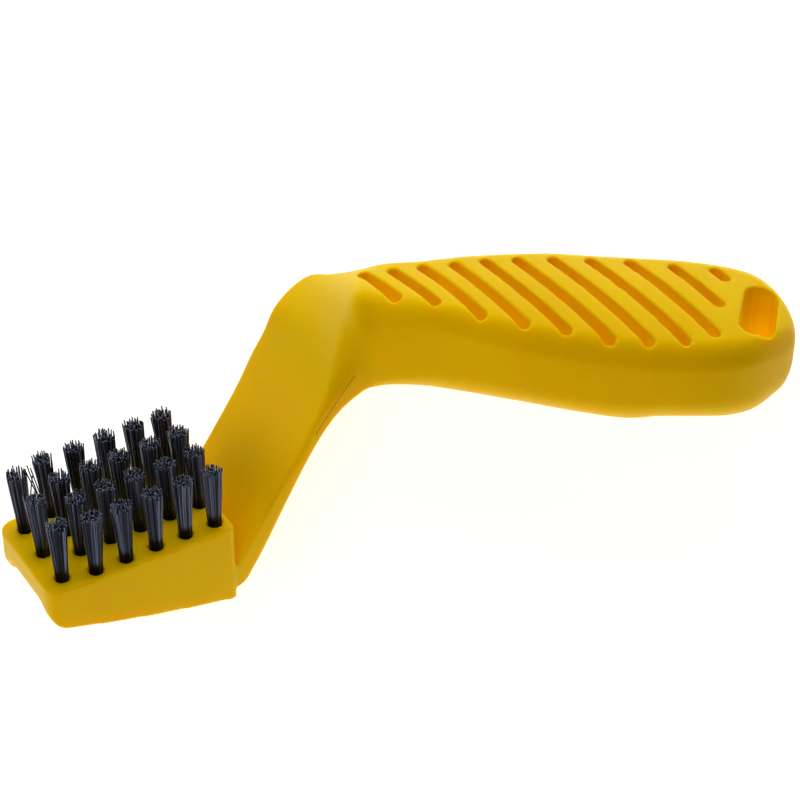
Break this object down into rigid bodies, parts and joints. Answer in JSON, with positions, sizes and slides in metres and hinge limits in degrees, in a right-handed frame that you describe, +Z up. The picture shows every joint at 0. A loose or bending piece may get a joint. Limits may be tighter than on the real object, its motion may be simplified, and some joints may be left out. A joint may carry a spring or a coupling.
{
  "type": "pad conditioning brush",
  "caption": "Hand brush with short stiff tufts on a small wedge-shaped head, a bent neck and a wide slotted palm grip turned to one side.",
  "frame": {"origin": "bottom centre of the bounding box, on the surface that the brush lies on", "axes": "+Z up with the brush lying at rest on its back, +X along the grip from the elbow towards the hanging eye, +Y across it, towards the side that the tufts lean to"},
  "size_m": [0.1714, 0.0998, 0.0616],
  "materials": {
    "yellow_plastic": "satin moulded",
    "black_nylon": "crimp-free bristle, cut ends",
    "anchor_metal": "drawn flat wire"
  },
  "bodies": {
    "root": {"handle": "yellow_plastic", "tuft_01": "black_nylon", "tuft_02": "black_nylon", "tuft_03": "black_nylon", "tuft_04": "black_nylon", "tuft_05": "black_nylon", "tuft_06": "black_nylon", "tuft_07": "black_nylon", "tuft_08": "black_nylon", "tuft_09": "black_nylon", "tuft_10": "black_nylon", "tuft_11": "black_nylon", "tuft_12": "black_nylon", "tuft_13": "black_nylon", "tuft_14": "black_nylon", "tuft_15": "black_nylon", "tuft_16": "black_nylon", "tuft_17": "black_nylon", "tuft_18": "black_nylon", "tuft_19": "black_nylon", "tuft_20": "black_nylon", "tuft_21": "black_nylon", "tuft_22": "black_nylon", "tuft_23": "black_nylon", "anchor_01": "anchor_metal", "anchor_02": "anchor_metal", "anchor_03": "anchor_metal", "anchor_04": "anchor_metal", "anchor_05": "anchor_metal", "anchor_06": "anchor_metal", "anchor_07": "anchor_metal", "anchor_08": "anchor_metal", "anchor_09": "anchor_metal", "anchor_10": "anchor_metal", "anchor_11": "anchor_metal", "anchor_12": "anchor_metal", "anchor_13": "anchor_metal", "anchor_14": "anchor_metal", "anchor_15": "anchor_metal", "anchor_16": "anchor_metal", "anchor_17": "anchor_metal", "anchor_18": "anchor_metal", "anchor_19": "anchor_metal", "anchor_20": "anchor_metal", "anchor_21": "anchor_metal", "anchor_22": "anchor_metal", "anchor_23": "anchor_metal"}
  },
  "joints": []
}
